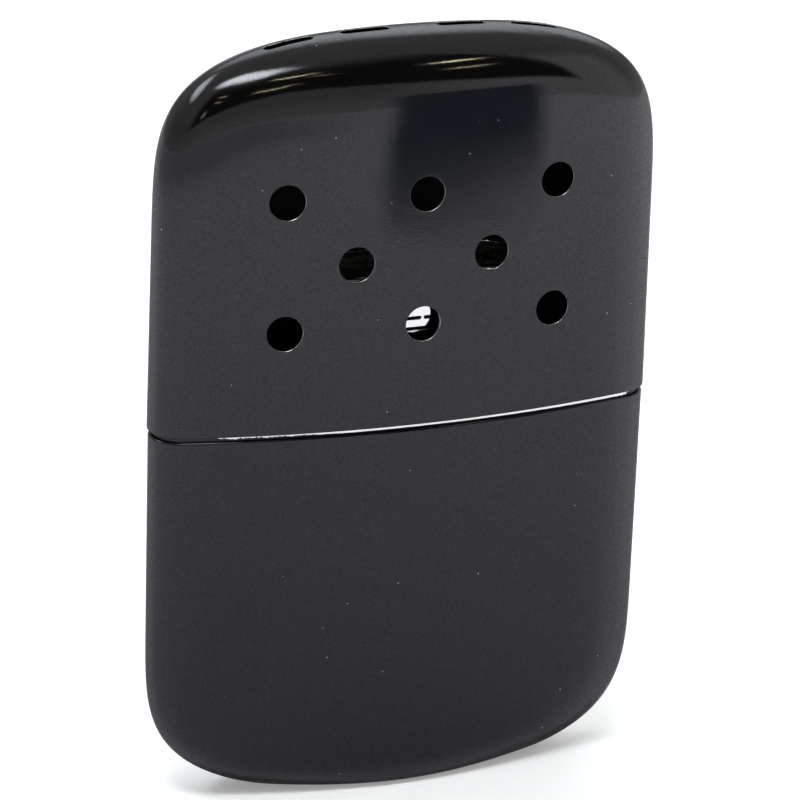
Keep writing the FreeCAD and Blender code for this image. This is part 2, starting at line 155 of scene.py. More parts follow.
class Finish(Graph):
    """One material: a Principled shader and the nodes that feed it."""

    def __init__(self, name, surface):
        self.material = bpy.data.materials.new(name)
        self.material.use_nodes = True
        super().__init__(self.material.node_tree)
        self.shader = self.tree.nodes["Principled BSDF"]
        self.wear(surface)

    def wear(self, surface):
        """Set or link sockets of the surface shader."""
        self.feed(self.shader, surface)

    def veil(self, share):
        """Lay a dull black over the surface, to keep a rough edge-on coat from mirroring fully."""
        dull = self.node("ShaderNodeBsdfDiffuse", values={"Color": grey(0.004)})
        mixed = self.node("ShaderNodeMixShader")
        self.feed(mixed.socket.node, {0: share, 2: dull})
        self.tree.links.new(self.shader.outputs["BSDF"], mixed.socket.node.inputs[1])
        self.tree.links.new(mixed.socket, self.tree.nodes["Material Output"].inputs["Surface"])

    def place(self):
        """Where a point lies on the object, in metres."""
        return self.node("ShaderNodeTexCoord", output="Object")

    def stretched(self, x, y, z):
        """The place, with each axis scaled, for grain that runs one way."""
        return self.node("ShaderNodeMapping", values={"Vector": self.place(), "Scale": (x, y, z)})

    def noise(self, size, detail=2.0, roughness=0.5, where=None):
        """Soft noise from 0 to 1 whose lumps are about this size in millimetres."""
        values = {"Vector": where or self.place(), "Scale": 1 / (size * MM), "Detail": detail}
        return self.node("ShaderNodeTexNoise", values={**values, "Roughness": roughness})

    def ramp(self, value, low, high, dark=(0, 0, 0, 1), light=(1, 1, 1, 1)):
        """The value's stretch from low to high, spread from dark to light."""
        settings = {"stops": ((low, dark), (high, light))}
        return self.node("ShaderNodeValToRGB", settings, {"Fac": value})

    def bump(self, height, depth, under=None):
        """A bump of this depth in millimetres, over another one."""
        values = {"Height": height, "Distance": depth * MM, "Strength": 1.0}
        if under:
            values["Normal"] = under
        return self.node("ShaderNodeBump", values=values)

    def specks(self, spacing, size):
        """1 inside scattered round specks, 0 outside."""
        values = {"Vector": self.place(), "Scale": 1 / (spacing * MM)}
        distance = self.node("ShaderNodeTexVoronoi", {"feature": "F1"}, values)
        return distance.maths("LESS_THAN", size / spacing)


def grey(level, blue=0.0):
    """A neutral colour, or one that leans to blue by a share."""
    return (level * (1 - blue), level * (1 - blue * 0.5), level * (1 + blue), 1.0)


def black_paint(name, colour, gloss, tint):
    """Glossy black paint: faint orange peel and ripple, fine grain and a few specks of dust."""
    paint = Finish(name, {"IOR": 1.5, "Specular IOR Level": gloss, "Specular Tint": tint})
    swell = paint.bump(paint.noise(2.6, 1.0), 0.0035)
    ripple = paint.noise(0.36, 2.0, 0.6, paint.stretched(0.5, 0.5, 1.0))
    peel = paint.bump(ripple, 0.003, under=paint.bump(paint.noise(0.7, 2.0), 0.0012, under=swell))
    dust = paint.specks(3.0, 0.075) + 0.35 * paint.specks(1.4, 0.035)
    grain = paint.noise(0.3, 2.0, 0.8)
    haze = paint.noise(9.0, 4.0, 0.6)
    paint.wear(
        {
            "Normal": peel,
            "Base Color": paint.mix(dust, colour, grey(0.45)),
            "Roughness": paint.ramp(haze, 0.3, 0.7, grey(0.06), grey(0.1)) + 0.4 * dust,
        }
    )
    facing = paint.node("ShaderNodeLayerWeight", values={"Blend": 0.5}, output="Facing")
    edge_on = paint.smooth(facing, 0.42, 0.75)
    paint.veil(0.48 * edge_on + 0.26 * paint.smooth(grain, 0.35, 0.7))
    return paint.material


def dull_paint():
    """The thin, dull coat that reaches the inside of the shells."""
    paint = Finish("inside_paint", {"IOR": 1.4, "Specular IOR Level": 0.2})
    haze = paint.noise(1.2, 4.0, 0.6)
    paint.wear(
        {
            "Base Color": paint.mix(haze, grey(0.002), grey(0.005)),
            "Roughness": paint.ramp(haze, 0.3, 0.7, grey(0.4), grey(0.55)),
            "Normal": paint.bump(haze, 0.01),
        }
    )
    return paint.material


def lip_highlight():
    """Painted highlight on the rounded edge of a punched hole: patches of bright steel on the black,
    standing in for the light that the lip catches.
    """
    edge = Finish("lip_highlight", {})
    highlight_patches = edge.smooth(edge.noise(0.9, 3.0, 0.6), 0.3, 0.55)
    edge.wear(
        {
            # painted highlight: the patches are light steel, the rest stays near-black
            "Base Color": edge.mix(highlight_patches, grey(0.01), grey(0.6)),
            "Metallic": highlight_patches,
            "Roughness": 0.34,
            "Normal": edge.bump(highlight_patches, 0.004),
        }
    )
    return edge.material


def polished_plate():
    """Bright plate, scuffed up and down by the lid, with painted shade on its foot: a ragged near-black band
    standing in for the shadowed gap over the tank's rim.
    """
    plate = Finish("polished_plate", {})
    scuffs = plate.noise(1.0, 4.0, 0.7, plate.stretched(9.0, 9.0, 0.35))
    where = plate.node("ShaderNodeNewGeometry", output="Position")
    x, _, z = plate.split(where)
    across, height = x * (1 / MM), z * (1 / MM)
    # The painted shade's edge, over the tank's rim: low in the middle, higher and more ragged at both ends
    ragged = plate.noise(0.5, 3.0, 0.7) - 0.5
    edge = 0.1 + 0.19 * plate.smooth(across, -8, -18) + 0.3 * plate.smooth(across, -24, -28)
    edge = edge + 0.5 * plate.smooth(across, 29, 31.5)
    edge = edge + ragged * (0.1 + 0.6 * plate.smooth(across, -9, -18) + 0.6 * plate.smooth(across, 27, 30))
    tank_rim = node_box("tank_shell")[1][2]
    clear_of_shade = plate.smooth(height - tank_rim - edge, -0.02, 0.02)
    plate.wear(
        {
            # painted shade: near-black below the edge, for the shadow in the gap
            "Base Color": plate.mix(clear_of_shade, grey(0.006), (0.86, 0.86, 0.85, 1)),
            "Metallic": clear_of_shade,
            "Roughness": plate.ramp(scuffs, 0.35, 0.75, grey(0.06), grey(0.24)) + 0.3 * (1 - clear_of_shade),
            "Normal": plate.bump(scuffs, 0.002),
        }
    )
    return plate.material


def chrome():
    """Mirror-bright plate with a trace of handling."""
    plate = Finish("bright_chrome", {"Metallic": 1.0, "Base Color": (0.84, 0.84, 0.85, 1)})
    smudge = plate.noise(3.5, 5.0, 0.65)
    plate.wear(
        {
            "Roughness": plate.ramp(smudge, 0.42, 0.8, grey(0.025), grey(0.16)),
            "Normal": plate.bump(plate.noise(3.0, 1.0), 0.006),
        }
    )
    return plate.material


def bare_steel():
    """Rolled stainless sheet and drawn wire."""
    steel = Finish("bare_steel", {"Metallic": 1.0, "Base Color": (0.62, 0.6, 0.57, 1)})
    grain = steel.noise(0.6, 5.0, 0.7, steel.stretched(0.25, 5.0, 5.0))
    tint = steel.noise(2.5, 3.0)
    steel.wear(
        {
            "Base Color": steel.mix(tint, (0.66, 0.65, 0.63, 1), (0.5, 0.46, 0.41, 1)),
            "Roughness": steel.ramp(grain, 0.3, 0.75, grey(0.2), grey(0.42)),
            "Normal": steel.bump(grain, 0.004),
        }
    )
    return steel.material


def fibre(name, dark, light, lump):
    """Matted fibre: mottled colour, with short hairs as bump."""
    wool = Finish(name, {"Roughness": 0.95, "Specular IOR Level": 0.2})
    mottle = wool.noise(lump, 4.0, 0.7)
    hairs = wool.noise(0.12, 6.0, 0.75)
    wool.wear(
        {
            "Base Color": wool.mix(wool.ramp(mottle, 0.35, 0.68), dark, light),
            "Normal": wool.bump(hairs, 0.08, under=wool.bump(mottle, 0.15)),
        }
    )
    return wool.material


FINISHES = {
    "lid_paint": black_paint("lid_paint", grey(0.0017), 0.56, (0.97, 0.965, 1.0, 1)),
    "tank_paint": black_paint("tank_paint", grey(0.0018, 0.5), 0.56, (0.94, 0.92, 1.0, 1)),
    "inside_paint": dull_paint(),
    "lip_highlight": lip_highlight(),
    "polished_plate": polished_plate(),
    "chrome": chrome(),
    "bare_steel": bare_steel(),
    "catalyst_fibre": fibre("catalyst_fibre", (0.035, 0.028, 0.022, 1), (0.26, 0.22, 0.17, 1), 0.9),
    "catalyst_hair": fibre("catalyst_hair", (0.14, 0.12, 0.1, 1), (0.42, 0.38, 0.32, 1), 0.7),
    "felt": fibre("felt", (0.55, 0.52, 0.45, 1), (0.78, 0.75, 0.68, 1), 1.6),
    "cotton": fibre("cotton", (0.72, 0.7, 0.65, 1), (0.88, 0.87, 0.84, 1), 3.0),
}

# ---------------- meshes with exact normals


class Skin:
    """The points of a piece with their normals, and the faces between them."""

    def __init__(self):
        self.points = np.zeros((0, 3))
        self.normals = np.zeros((0, 3))
        self.faces = []
        self.coats = []

    def face(self, loop, coat=0):
        """One face: its coat is 0 outside, 1 in the piece's hollow and 2 on the band of a hole's edge that
        carries the painted highlight.
        """
        self.faces.append([int(corner) for corner in loop])
        self.coats.append(int(coat))

    def add(self, points, normals):
        """New points, which gives their numbers."""
        first = len(self.points)
        self.points = np.vstack((self.points, points))
        self.normals = np.vstack((self.normals, unit(normals)))
        return np.arange(first, len(self.points))

    def band(self, first, second, turned=False, skip=(), coat=0):
        """Quads between two rings that run the same way, facing out if the second lies above the first."""
        if turned:
            first, second = second, first
        count = len(first)
        for index in range(count):
            if index not in skip:
                after = (index + 1) % count
                self.face((first[index], first[after], second[after], second[index]), coat)

    def fill(self, flat, numbers, outline, holes, turned=False, coat=0):
        """Triangles over points laid out flat, inside the outline and outside the holes' rings."""
        where = {number: index for index, number in enumerate(numbers)}
        edges = []
        for ring in (outline, *holes):
            ends = [where[number] for number in ring]
            edges += list(zip(ends, ends[1:] + ends[:1]))
        spots = [Vector(spot) for spot in flat]
        faces, origins = geometry.delaunay_2d_cdt(spots, edges, [], 1, 1e-7)[2:4]
        rings = [set(ring) for ring in holes]
        for face in faces:
            loop = [numbers[origins[corner][0]] for corner in face]
            if not any(ring.issuperset(loop) for ring in rings):
                self.face(reversed(loop) if turned else loop, coat)

    def make(self, name, *finishes):
        """The mesh object, in metres, shaded with the points' own normals; points in no face are left out.
        There is one finish for each coat, or one for all."""
        used = sorted({corner for face in self.faces for corner in face})
        place = {corner: index for index, corner in enumerate(used)}
        mesh = bpy.data.meshes.new(name)
        faces = [[place[corner] for corner in face] for face in self.faces]
        mesh.from_pydata((self.points[used] * MM).tolist(), [], faces)
        mesh.polygons.foreach_set("use_smooth", [True] * len(mesh.polygons))
        mesh.normals_split_custom_set_from_vertices(self.normals[used].tolist())
        for finish in finishes:
            mesh.materials.append(FINISHES[finish])
        if len(finishes) > 1:
            mesh.polygons.foreach_set("material_index", self.coats)
        return placed(name, mesh)


class Hole:
    """A round hole or a slot along the first axis, seen along its punch."""

    ROUND_POINTS = 56
    END_POINTS = 15
    RUN_POINTS = 10

    def __init__(self, middle, width, length=0.0):
        self.middle = np.array(middle, float)
        self.radius = width / 2
        self.reach = max(length - width, 0) / 2
        if self.reach:
            turn = np.linspace(-math.pi / 2, math.pi / 2, self.END_POINTS)
            run = np.linspace(self.reach, -self.reach, self.RUN_POINTS + 2)[1:-1]
            up = np.full(len(run), math.pi / 2)
            ends = np.full(len(turn), self.reach)
            angles = np.concatenate((turn, up, turn + math.pi, up + math.pi))
            shifts = np.concatenate((ends, run, -ends, -run))
        else:
            angles = np.arange(self.ROUND_POINTS) * 2 * math.pi / self.ROUND_POINTS
            shifts = np.zeros(self.ROUND_POINTS)
        self.shifts = np.column_stack((shifts, np.zeros(len(shifts))))
        self.outward = np.column_stack((np.cos(angles), np.sin(angles)))

    def ring(self, grow):
        return self.middle + self.shifts + (self.radius + grow) * self.outward

    def off(self, flat):
        """How far flat points lie outside the hole's edge."""
        aside = flat - self.middle
        aside = np.column_stack((np.maximum(np.abs(aside[:, 0]) - self.reach, 0), aside[:, 1]))
        return np.linalg.norm(aside, axis=1) - self.radius


class Chart:
    """A stretch of a form's wall seen along one axis, where it is punched."""

    HALVINGS = 45
    LIP_STEPS = 6

    def __init__(self, form, flat_axes, depth_axis, outside, inside, margin):
        self.form = form
        self.flat_axes = list(flat_axes)
        self.depth_axis = depth_axis
        self.outside = outside
        self.inside = inside
        self.margin = margin
        self.inward = math.copysign(1, inside - outside)
        towards_eye = -self.inward * (1 if depth_axis == 2 else -1)
        self.mirrored = towards_eye < 0

    def lift(self, flat, inset):
        """Flat points brought up to the form's face, found by halving."""
        points = np.zeros((len(flat), 3))
        points[:, self.flat_axes] = flat
        outer = np.full(len(flat), float(self.outside))
        inner = np.full(len(flat), float(self.inside))
        for _ in range(self.HALVINGS):
            middle = (outer + inner) / 2
            points[:, self.depth_axis] = middle
            out = self.form.off(points, inset) > 0
            outer = np.where(out, middle, outer)
            inner = np.where(out, inner, middle)
        return points

    def lip(self, skin, hole, inset, side, radius):
        """The rounded edge of a hole in one face: its ring on the face and its ring inside the hole."""
        rings = []
        for step in range(self.LIP_STEPS + 1):
            turn = step / self.LIP_STEPS * math.pi / 2
            points = self.lift(hole.ring(radius * (1 - math.sin(turn))), inset)
            normals = side * self.form.normals(points, inset) * math.cos(turn)
            normals[:, self.flat_axes] -= hole.outward * math.sin(turn)
            points[:, self.depth_axis] += side * self.inward * radius * (1 - math.cos(turn))
            rings.append(skin.add(points, normals))
        for step, (first, second) in enumerate(zip(rings, rings[1:])):
            # the deeper half of an outer lip takes coat 2, the painted highlight
            coat = 1 if side < 0 else 2 * (step >= 0.4 * self.LIP_STEPS)
            skin.band(first, second, (side < 0) != self.mirrored, coat=coat)
        return rings[0], rings[-1]


# ---------------- forms


class Oval:
    """Columns of a flat oval of four tangent arcs, as (arc, share of the arc), from the front's left end."""

    def __init__(self, side_share, face_columns, side_columns):
        self.side_share = side_share
        counts = (face_columns, side_columns, face_columns, side_columns)
        places = [arc + step / count for arc, count in enumerate(counts) for step in range(count)]
        self.places = np.array(places)

    def arcs(self, wide, thick):
        """Side radius, the sides' centre, the faces' radius and centre, and where the arcs meet."""
        side = thick * self.side_share
        reach = wide - side
        face = (reach**2 + thick**2 - side**2) / (2 * (thick - side))
        drop = face - thick
        return side, reach, face, drop, np.arctan2(drop, reach)

    def ring(self, wide, thick):
        side, reach, face, drop, turn = self.arcs(wide, thick)
        arc = self.places.astype(int)
        share = self.places - arc
        starts = np.array((turn - math.pi, -turn, turn, math.pi - turn))
        spans = np.array((math.pi - 2 * turn, 2 * turn, math.pi - 2 * turn, 2 * turn))
        radii = np.array((face, side, face, side))
        centres = np.array(((0, drop), (reach, 0), (0, -drop), (-reach, 0)))
        angles = starts[arc] + share * spans[arc]
        return centres[arc] + radii[arc][:, None] * np.column_stack((np.cos(angles), np.sin(angles)))

    def off(self, x, y, wide, thick):
        """How far points lie outside the oval."""
        side, reach, face, drop, _ = self.arcs(wide, thick)
        x, y = np.abs(x), np.abs(y)
        past_side = np.hypot(x - reach, y) - side
        past_face = np.hypot(x, y + drop) - face
        return np.where((x - reach) * drop > y * reach, past_side, past_face)


class Form:
    """A wall whose section changes with height; its normals come from the distance to the section."""

    STEP = 1e-4

    def slopes(self, points, inset):
        """The unit direction in which the distance to the section grows."""
        slopes = []
        for axis in range(3):
            step = np.zeros(3)
            step[axis] = self.STEP
            slopes.append(self.off(points + step, inset) - self.off(points - step, inset))
        return unit(np.column_stack(slopes))

    def normals(self, points, inset):
        return self.slopes(points, inset)


class Drawn(Form):
    """A drawn shell: flat oval sections that taper from the rim and close towards the far end, over a
    reach, with a rise and a spread, down to least half sizes.

    A press leaves no sharp change of curvature, so normals are evened out along and up the wall.
    """

    NEARLY_CLOSED = 1 - 1e-8
    ALONG = ((-8.0, 0.5), (-4.0, 1.0), (0.0, 1.2), (4.0, 1.0), (8.0, 0.5))  # shift and its weight
    UPHILL = ((-2.5, 0.6), (0.0, 1.0), (2.5, 0.6))

    def __init__(self, node, oval, rim_is_low, tapers, closings, least=(0.0, 0.0)):
        low, high = node_box(node)
        self.oval = oval
        self.rim, self.end = (low[2], high[2]) if rim_is_low else (high[2], low[2])
        self.half_sizes = high[:2]
        self.tapers = tapers
        self.closings = closings
        self.least = least

    def halves(self, height, inset):
        """Half width and half thickness at each height, inside the outer face by inset."""
        climb = np.clip((height - self.rim) / (self.end - self.rim), 0, 1)
        left = (self.end - height) * math.copysign(1, self.end - self.rim)
        halves = []
        for half, taper, least, closing in zip(self.half_sizes, self.tapers, self.least, self.closings):
            reach, rise, spread = closing
            full = half - taper * climb - inset
            end = max(least - inset, 0)
            share = np.clip((reach - left) / (reach - inset), 0, self.NEARLY_CLOSED)
            halves.append(end + (full - end) * (1 - share**rise) ** (1 / spread))
        return halves

    def normals(self, points, inset):
        own = self.slopes(points, inset)
        along = unit(np.cross(UP, own))
        uphill = np.cross(own, along)
        along *= np.sqrt(1 - own[:, :1] ** 2)  # less round the narrow sides
        evened = np.zeros(points.shape)
        low, high = sorted((self.rim, self.end))
        for shift, weight in self.ALONG:
            for climb, share in self.UPHILL:
                nearby = points + shift * along + climb * uphill
                nearby[:, 2] = np.clip(nearby[:, 2], low + inset + 0.01, high - inset - 0.01)
                evened += weight * share * self.slopes(nearby, inset)
        return unit(evened)

    def ring(self, height, inset):
        flat = self.oval.ring(*self.halves(height, inset))
        return np.column_stack((flat, np.full(len(flat), height)))

    def off(self, points, inset):
        return self.oval.off(points[:, 0], points[:, 1], *self.halves(points[:, 2], inset))


class Tube(Form):
    """A straight wall with one section: a flat oval, or an obround when it is given no oval."""

    def __init__(self, half_sizes, oval=None, run_columns=0, quarter_columns=0):
        self.half_sizes = np.array(half_sizes)
        self.oval = oval
        self.columns = (run_columns, quarter_columns)

    def ring(self, height, inset):
        wide, thick = self.half_sizes - inset
        if self.oval:
            flat = self.oval.ring(wide, thick)
        else:
            runs, quarters = self.columns
            reach = wide - thick
            run = np.linspace(-reach, reach, runs, endpoint=False)
            turn = np.linspace(-math.pi / 2, 0, quarters, endpoint=False)
            front = np.column_stack((run, np.full(runs, -thick)))
            right = thick * np.column_stack((np.cos(turn), np.sin(turn)))
            left = thick * np.column_stack((np.sin(turn), -np.cos(turn)))
            flat = np.vstack((left - (reach, 0), front, right + (reach, 0)))
            flat = np.vstack((flat, -flat))
        return np.column_stack((flat, np.full(len(flat), height)))

    def off(self, points, inset):
        wide, thick = self.half_sizes - inset
        if self.oval:
            return self.oval.off(points[:, 0], points[:, 1], wide, thick)
        past = np.maximum(np.abs(points[:, 0]) - (wide - thick), 0)
        return np.hypot(past, points[:, 1]) - thick


def wall(skin, form, stations, turned=False, windows=()):
    """A form's face through stations (height, inset, lean), upwards: lean turns the normal from the
    wall's own towards straight up or down. Windows (rows, columns) are left open. Gives the rings."""
    side = -1 if turned else 1
    rings = []
    for height, inset, lean in stations:
        points = form.ring(height, inset)
        normals = side * form.normals(points, inset) * math.cos(lean)
        rings.append(skin.add(points, normals + UP * math.sin(lean)))
    for row, (first, second) in enumerate(zip(rings, rings[1:])):
        skip = {column for rows, columns in windows if row in rows for column in columns}
        skin.band(first, second, turned, skip, turned)
    return rings


def rounded_edge(height, inset, radius, upwards, inner, steps=5):
    """Stations round the edge between an upright wall and a level face, from the wall on. The level
    face looks up or down; the wall is an outer or an inner one."""
    up = 1 if upwards else -1
    inwards = -1 if inner else 1
    stations = []
    for step in range(steps + 1):
        turn = step / steps * math.pi / 2
        level = height - up * radius * (1 - math.sin(turn))
        stations.append((level, inset + inwards * radius * (1 - math.cos(turn)), up * turn))
    return stations


def pierce(skin, chart, faces, holes):
    """Both faces of a wall round its holes, and the holes' own walls. A face is its side (1 outer, -1
    inner), inset, outline, inner points and lip radius; the outer one comes first."""
    ends = []
    for side, inset, outline, inside, lip in faces:
        turned = (side < 0) != chart.mirrored
        pairs = [chart.lip(skin, hole, inset, side, lip) for hole in holes]
        rings = [on_face for on_face, _ in pairs]
        flat = skin.points[inside][:, chart.flat_axes]
        clear = np.ones(len(inside), bool)
        for hole in holes:
            clear &= hole.off(flat) > lip + chart.margin
        numbers = np.concatenate((outline, inside[clear], *rings))
        skin.fill(skin.points[numbers][:, chart.flat_axes], numbers, outline, rings, turned, side < 0)
        ends.append([deep for _, deep in pairs])
    for outer, inner in zip(*ends):
        skin.band(outer, inner, chart.mirrored)


def window(rings, rows, columns):
    """The outline of a window in a wall, and the points inside it."""
    grid = np.array(rings)[rows.start : rows.stop + 1, columns.start : columns.stop + 1]
    outline = np.concatenate((grid[0], grid[1:, -1], grid[-1, -2::-1], grid[-2:0:-1, 0]))
    return outline, grid[1:-1, 1:-1].ravel()


def between(values, low, high):
    """The range of steps between neighbouring values that covers low to high."""
    values = np.asarray(values)
    first = np.searchsorted(values, low) - 1
    return range(first, np.searchsorted(values, high))


CROWN_SPACING = (0.5, 0.33)


def crown_grid(skin, chart, outline, inset, side):
    """Points over a crown inside its outline, a little clear of it."""
    edge = skin.points[outline]
    wide, thick = np.abs(edge).max(axis=0)[:2]
    xs = np.arange(-wide, wide, CROWN_SPACING[0])
    ys = np.arange(-thick, thick, CROWN_SPACING[1])
    flat = np.array([(x, y) for x in xs for y in ys])
    height = edge[0, 2]
    points = np.column_stack((flat, np.full(len(flat), height)))
    flat = flat[chart.form.off(points, inset) < -0.6 * max(CROWN_SPACING)]
    points = chart.lift(flat, inset)
    return skin.add(points, side * chart.form.normals(points, inset))


# ---------------- case

SHEET = 0.45
FACE_COLUMNS, SIDE_COLUMNS = 76, 38
CASE_OVAL = Oval(4.0 / 7.2, FACE_COLUMNS, SIDE_COLUMNS)
VENT = 4.56  # clear opening, inside its rounded edge
VENT_PITCH = (17.9, 8.5)
VENT_HEIGHT = 72.2
VENT_FIELD = (22.6, 12.5)  # half sizes of the stretch of wall that holds the vents
CROWN_SLOT = (6.4, 1.5)
CROWN_SLOT_PLACES = (-16.2, -6.3, 6.3, 16.2)
CROWN_DEPTH = 2.8  # of the cap that is seen from above
LID_FACES = (  # side, inset, and the rounding of the rim, of a vent's edge and of a slot's edge
    (1, 0, 0.17, 0.14, 0.12),
    (-1, SHEET, 0.1, 0.07, 0.07),
)
TANK_FACES = ((1, 0, 0.34), (-1, SHEET, 0.1))  # side, inset and the rounding of the rim


def crowded(start, end, steps, full=1.0):
    """Heights from start towards end, closer together as they near it."""
    turns = np.linspace(0, full * math.pi / 2, steps + 1)
    return start + (end - start) * np.sin(turns) / math.sin(full * math.pi / 2)


def make_lid():
    """The lid, pierced by eight vents in front and four slots along the crown."""
    shoulder, crown_bend = (27.3, 4.8, 2.6), (10.0, 1.9, 2.25)
    form = Drawn("lid_shell", CASE_OVAL, True, (0.497, 0.2485), (shoulder, crown_bend))
    crown_start = form.end - CROWN_DEPTH
    front = Chart(form, (0, 2), 1, outside=-12.0, inside=0.0, margin=0.22)
    crown = Chart(form, (0, 1), 2, outside=form.end, inside=crown_start - 1, margin=0.16)
    vents = [
        Hole((column * VENT_PITCH[0], VENT_HEIGHT + row * VENT_PITCH[1]), VENT)
        for row, columns in ((1, (-1, 0, 1)), (0, (-0.5, 0.5)), (-1, (-1, 0, 1)))
        for column in columns
    ]
    slots = [Hole((place, 0), CROWN_SLOT[1], CROWN_SLOT[0]) for place in CROWN_SLOT_PLACES]
    skin = Skin()
    front_faces, crown_faces, rims = [], [], []
    for side, inset, rim_radius, vent_lip, slot_lip in LID_FACES:
        turned = side < 0
        edge = rounded_edge(form.rim, inset, rim_radius, False, turned)[::-1]
        heights = crowded(form.rim + rim_radius, crown_start, steps=78, full=0.7)[1:]
        stations = edge + [(height, inset, 0.0) for height in heights]
        levels = [height for height, _, _ in stations]
        rows = between(levels, VENT_HEIGHT - VENT_FIELD[1], VENT_HEIGHT + VENT_FIELD[1])
        places = form.ring(VENT_HEIGHT, inset)[:FACE_COLUMNS, 0]
        columns = between(places, -VENT_FIELD[0], VENT_FIELD[0])
        rings = wall(skin, form, stations, turned, [(rows, columns)])
        rims.append(rings[0])
        outline, inside = window(rings, rows, columns)
        front_faces.append((side, inset, outline, inside, vent_lip))
        grid = crown_grid(skin, crown, rings[-1], inset, side)
        crown_faces.append((side, inset, rings[-1], grid, slot_lip))
    skin.band(rims[1], rims[0])
    pierce(skin, front, front_faces, vents)
    pierce(skin, crown, crown_faces, slots)
    return skin.make("lid", "lid_paint", "inside_paint", "lip_highlight")


def make_tank():
    """The tank's painted outer cup, with its flat foot."""
    heel, sole, half_foot = (25.0, 4.4, 2.0), (3.2, 4.0, 2.7), (11.5, 4.2)
    form = Drawn("tank_shell", CASE_OVAL, False, (0.0994, 0.0994), (heel, sole), half_foot)
    skin = Skin()
    rims = []
    for side, inset, rim_radius in TANK_FACES:
        turned = side < 0
        edge = rounded_edge(form.rim, inset, rim_radius, True, turned)
        heights = crowded(form.rim - rim_radius, form.end + inset, steps=90)[:0:-1]
        stations = [(height, inset, 0.0) for height in heights] + edge
        rings = wall(skin, form, stations, turned)
        foot = skin.add(skin.points[rings[0]], np.tile(-side * UP, (len(rings[0]), 1)))
        skin.face(foot if turned else foot[::-1], turned)
        rims.append(rings[-1])
    skin.band(rims[0], rims[1])
    return skin.make("tank", "tank_paint", "inside_paint")


# ---------------- burner

BURNER_WALL = 0.4
BURNER_ROUND = 0.88
BURNER_LIP = 1.0
BURNER_EDGE = 0.1  # rounding of the bottom edge
LIP_EDGE = 0.12  # rounding of the lip's edge
BEND_STEPS = 14
AIR_SLOT = (7.6, 0.4)
AIR_SLOT_PITCH = 7.95
AIR_SLOT_LIP = 0.06
AIR_SLOT_ROWS = (  # (height over the cover's bottom edge, shift to the right, (place, share) of each slot)
    (6.35, 0.0, ((-1, 1), (0, 1), (1, 1))),
    (7.75, 0.6, ((-1.25, 0.5), (-0.5, 1), (0.5, 1), (1.25, 0.5))),
)
AIR_FIELD = ((-13.0, 13.2), (4.9, 9.0))  # the wall that holds them: across, and over the bottom edge


def make_burner_cover():
    """The burner's bright cover: rounded over at the top, rolled in as a lip, slotted for air."""
    low, high = node_box("burner_housing")
    form = Tube(high[:2], run_columns=56, quarter_columns=24)
    slots = [
        Hole((place * AIR_SLOT_PITCH + shift, low[2] + height), AIR_SLOT[1], share * AIR_SLOT[0])
        for height, shift, row in AIR_SLOT_ROWS
        for place, share in row
    ]
    half = len(form.ring(0, 0)) // 2
    skin = Skin()
    bottoms, faces = [], ([], [])
    for side, inset in ((1, 0.0), (-1, BURNER_WALL)):
        turned = side < 0
        top = high[2] - inset
        bend = rounded_edge(top, inset, BURNER_ROUND - inset, True, False, BEND_STEPS)
        edge = rounded_edge(low[2], inset, BURNER_EDGE, False, turned)[::-1]
        heights = np.linspace(low[2] + BURNER_EDGE, top - BURNER_ROUND + inset, 40)[1:-1]
        stations = edge + [(height, inset, 0.0) for height in heights]
        stations += [(height, depth, side * lean) for height, depth, lean in bend]
        levels = [height for height, _, _ in stations]
        rows = between(levels[: -BEND_STEPS - 1], *(low[2] + height for height in AIR_FIELD[1]))
        span = between(form.ring(0, inset)[:half, 0], *AIR_FIELD[0])
        windows = [(rows, range(first + span.start, first + span.stop)) for first in (0, half)]
        rings = wall(skin, form, stations, turned, windows)
        bottoms.append(rings[0])
        for place, (_, columns) in enumerate(windows):
            faces[place].append((side, inset, *window(rings, rows, columns), AIR_SLOT_LIP))
    skin.band(bottoms[1], bottoms[0])
    for stretch, depth in zip(faces, (-1, 1)):
        chart = Chart(form, (0, 2), 1, outside=depth * 9.0, inside=depth * 2.0, margin=0.1)
        pierce(skin, chart, stretch, slots)
    lip = rounded_edge(high[2], BURNER_LIP, LIP_EDGE, True, True)
    under = rounded_edge(high[2] - BURNER_WALL, BURNER_LIP, LIP_EDGE, False, True)
    wall(skin, form, under[::-1] + lip, True)
    return skin.make("burner_cover", "chrome")


# ---------------- soft pieces and wire

CROSSBARS = (-7.5, 0.0, 7.5)  # the retainer wire's, from the burner's middle
BAR_RADIUS = 0.2
BAR_POINTS = 15
STRAND_STEPS = 7


def strand_points(rng, start, heading, length):
    """A short fibre that wanders off level: points in millimetres."""
    points = [np.array(start)]
    pitch = rng.uniform(-0.25, 0.45)
    turn = rng.uniform(-0.5, 0.5)
    for step in range(STRAND_STEPS):
        heading += turn + rng.uniform(-0.2, 0.2)
        ahead = np.array((math.cos(heading), math.sin(heading), math.sin(pitch * math.cos(step))))
        points.append(points[-1] + ahead * length / STRAND_STEPS)
    return points


def add_strands(skin, strands, radius):
    """Each strand as a thin three-sided tube that tapers at its ends."""
    for points in strands:
        rings = []
        last = len(points) - 1
        for index, point in enumerate(points):
            ahead = points[min(index + 1, last)] - points[max(index - 1, 0)]
            ahead = ahead / (np.linalg.norm(ahead) + 1e-9)
            across = np.cross(ahead, UP)
            across = across / (np.linalg.norm(across) + 1e-9)
            over = np.cross(across, ahead)
            thick = radius * (0.35 if index in (0, last) else 1)
            angles = np.arange(3) * 2 * math.pi / 3
            around = np.outer(np.cos(angles), across) + np.outer(np.sin(angles), over)
            rings.append(skin.add(point + thick * around, around))
        for first, second in zip(rings, rings[1:]):
            skin.band(first, second)


